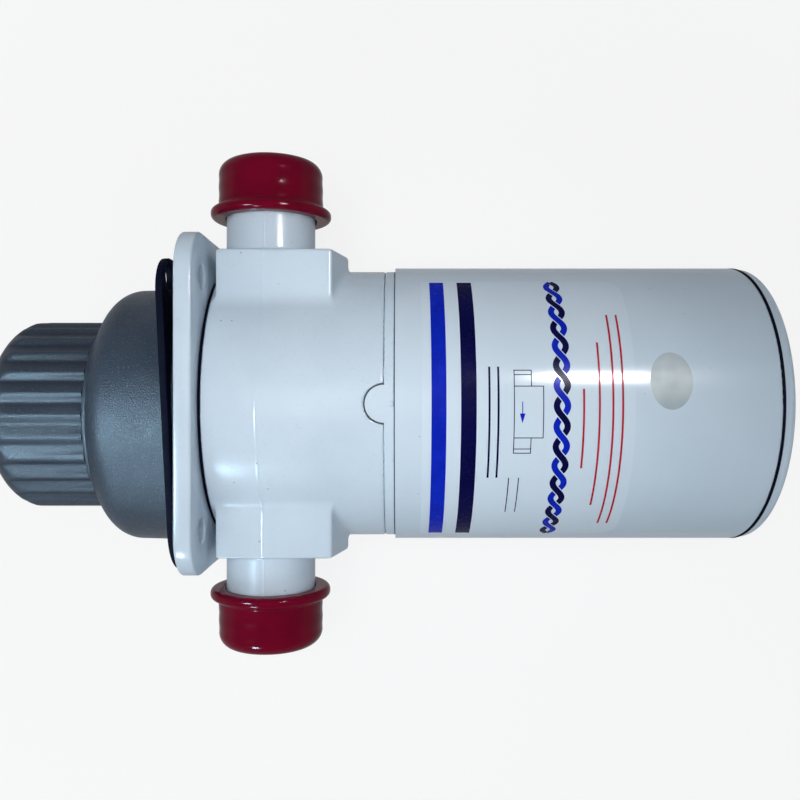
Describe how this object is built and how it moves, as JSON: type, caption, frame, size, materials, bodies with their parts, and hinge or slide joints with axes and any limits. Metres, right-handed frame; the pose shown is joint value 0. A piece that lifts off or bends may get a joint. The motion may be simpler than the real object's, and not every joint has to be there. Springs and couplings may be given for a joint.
{
  "type": "macerator toilet pump",
  "caption": "Electric toilet pump: a round motor drives a rinse-water pump with side ports and a macerator with a fluted intake, on a square flange.",
  "frame": {"origin": "on the motor axis, at the centre of the square flange's mounting face", "axes": "+X along the motor axis towards the motor, +Y towards the inlet port, +Z towards the label side"},
  "size_m": [0.2293, 0.1446, 0.0944],
  "materials": {
    "white_body": "satin white moulding",
    "white_cover": "smooth white paint",
    "grey_plastic": "satin grey moulding",
    "black_rubber": "matte",
    "red_vinyl": "glossy dipped vinyl",
    "steel": "stainless",
    "dark_steel": "black oxide",
    "copper": "copper",
    "brass": "plain brass",
    "ferrite": "sintered ferrite",
    "fibre_board": "phenolic board",
    "carbon": "carbon"
  },
  "bodies": {
    "root": {"intake_collar": "grey_plastic", "cutter_plate": "steel", "macerator_housing": "grey_plastic", "housing_screws": "steel", "flange_gasket": "black_rubber", "mounting_flange": "white_body", "body_screws": "steel", "waste_shaft_seal": "black_rubber", "body_seal": "black_rubber", "wear_plate": "steel", "pump_body": "white_body", "rinse_shaft_seal": "black_rubber", "end_bell": "white_body", "front_bearing": "steel", "motor_can": "dark_steel", "magnets": "ferrite", "brush_plate": "fibre_board", "brush_boxes": "brass", "brushes": "carbon", "brush_springs": "steel", "rear_end_bell": "dark_steel", "rear_bearing": "steel", "through_bolts": "steel", "motor_cover": "white_cover", "cover_end_cap": "white_cover", "cable_grommet": "black_rubber"},
    "rotor": {"shaft": "steel", "knife_nut": "steel", "macerator_knife": "steel", "knife_spacer": "steel", "waste_impeller": "grey_plastic", "flexible_impeller": "black_rubber", "impeller_insert": "brass", "impeller_pin": "steel", "slinger": "black_rubber", "shaft_circlip": "dark_steel", "armature_core": "dark_steel", "armature_windings": "copper", "commutator": "copper"},
    "inlet_cap": {"inlet_cap": "red_vinyl"},
    "outlet_cap": {"outlet_cap": "red_vinyl"}
  },
  "joints": [
    {"name": "rotor_spin", "type": "hinge", "parent": "root", "child": "rotor", "pos_m": [0.02, 0, 0], "axis": [1, 0, 0], "continuous": true, "deforming": ["flexible_impeller"]},
    {"name": "inlet_cap_pull", "type": "slide", "parent": "root", "child": "inlet_cap", "axis": [0, 1, 0], "range_m": [0, 0.06]},
    {"name": "outlet_cap_pull", "type": "slide", "parent": "root", "child": "outlet_cap", "axis": [0, -1, 0], "range_m": [0, 0.06]}
  ]
}
